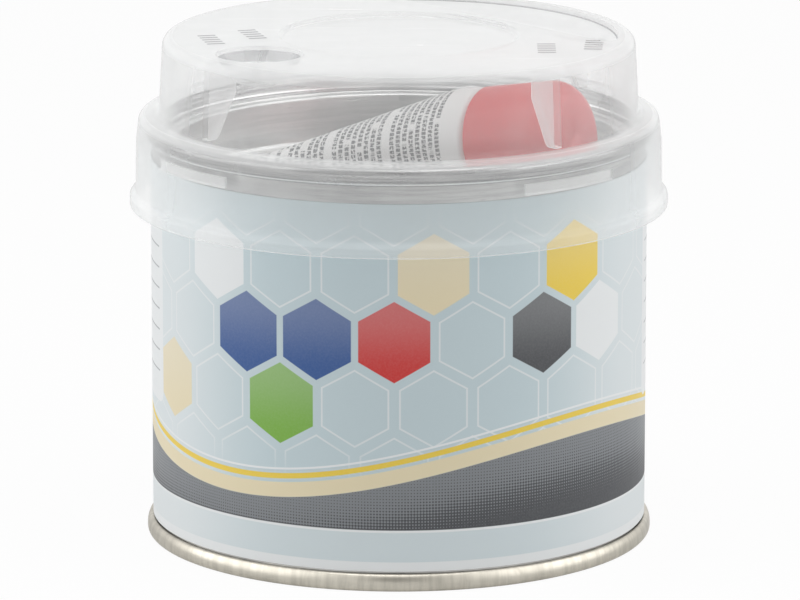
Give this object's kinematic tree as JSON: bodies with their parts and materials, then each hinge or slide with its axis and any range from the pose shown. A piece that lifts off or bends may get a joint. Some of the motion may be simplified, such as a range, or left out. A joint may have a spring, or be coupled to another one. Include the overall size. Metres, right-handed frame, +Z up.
{
  "type": "tub of body filler",
  "caption": "Round double-seamed tin of filler putty with a press-in lid and a clear push-over mixing cap that keeps a capped tube of hardener in the lid's dish.",
  "frame": {"origin": "centre of the bottom seam's circle on the surface that the tin stands on", "axes": "+Z up along the tin's axis, -Y towards the front, from where the picture looks, +X to the right"},
  "size_m": [0.1074, 0.1074, 0.101],
  "materials": {
    "tinplate": "bright tinplate, lightly worn",
    "label_paper": "pale blue coated print, satin",
    "seam_compound": "matte lining compound",
    "filler_putty": "thick ochre paste",
    "clear_plastic": "clear moulded plastic, slightly milky",
    "tube_white": "white lacquered collapsible tube",
    "hardener_paste": "red paste",
    "tube_cap_red": "red moulded plastic, satin"
  },
  "bodies": {
    "can": {"can_body": "tinplate", "bottom_end": "tinplate", "mouth_ring": "tinplate", "wrap_label": "label_paper", "bottom_seam_compound": "seam_compound", "ring_seam_compound": "seam_compound", "filler_putty": "filler_putty"},
    "lever_lid": {"lever_lid": "tinplate"},
    "hardener_tube": {"hardener_tube": "tube_white", "hardener_paste": "hardener_paste"},
    "tube_cap": {"tube_cap": "tube_cap_red"},
    "mixing_cap": {"mixing_cap": "clear_plastic"}
  },
  "joints": [
    {"name": "lever_lid_lift", "type": "slide", "parent": "can", "child": "lever_lid", "axis": [0, 0, 1], "range_m": [0, 0.03]},
    {"name": "hardener_tube_lift", "type": "slide", "parent": "lever_lid", "child": "hardener_tube", "axis": [0, 0, 1], "range_m": [0, 0.03]},
    {"name": "mixing_cap_lift", "type": "slide", "parent": "hardener_tube", "child": "mixing_cap", "axis": [0, 0, 1], "range_m": [0, 0.04]},
    {"name": "tube_cap_unscrew", "type": "hinge", "parent": "hardener_tube", "child": "tube_cap", "pos_m": [0.0185, -0.01037, 0.08122], "axis": [0.8155, -0.5501, 0.1797], "range_deg": [0, 900]}
  ]
}
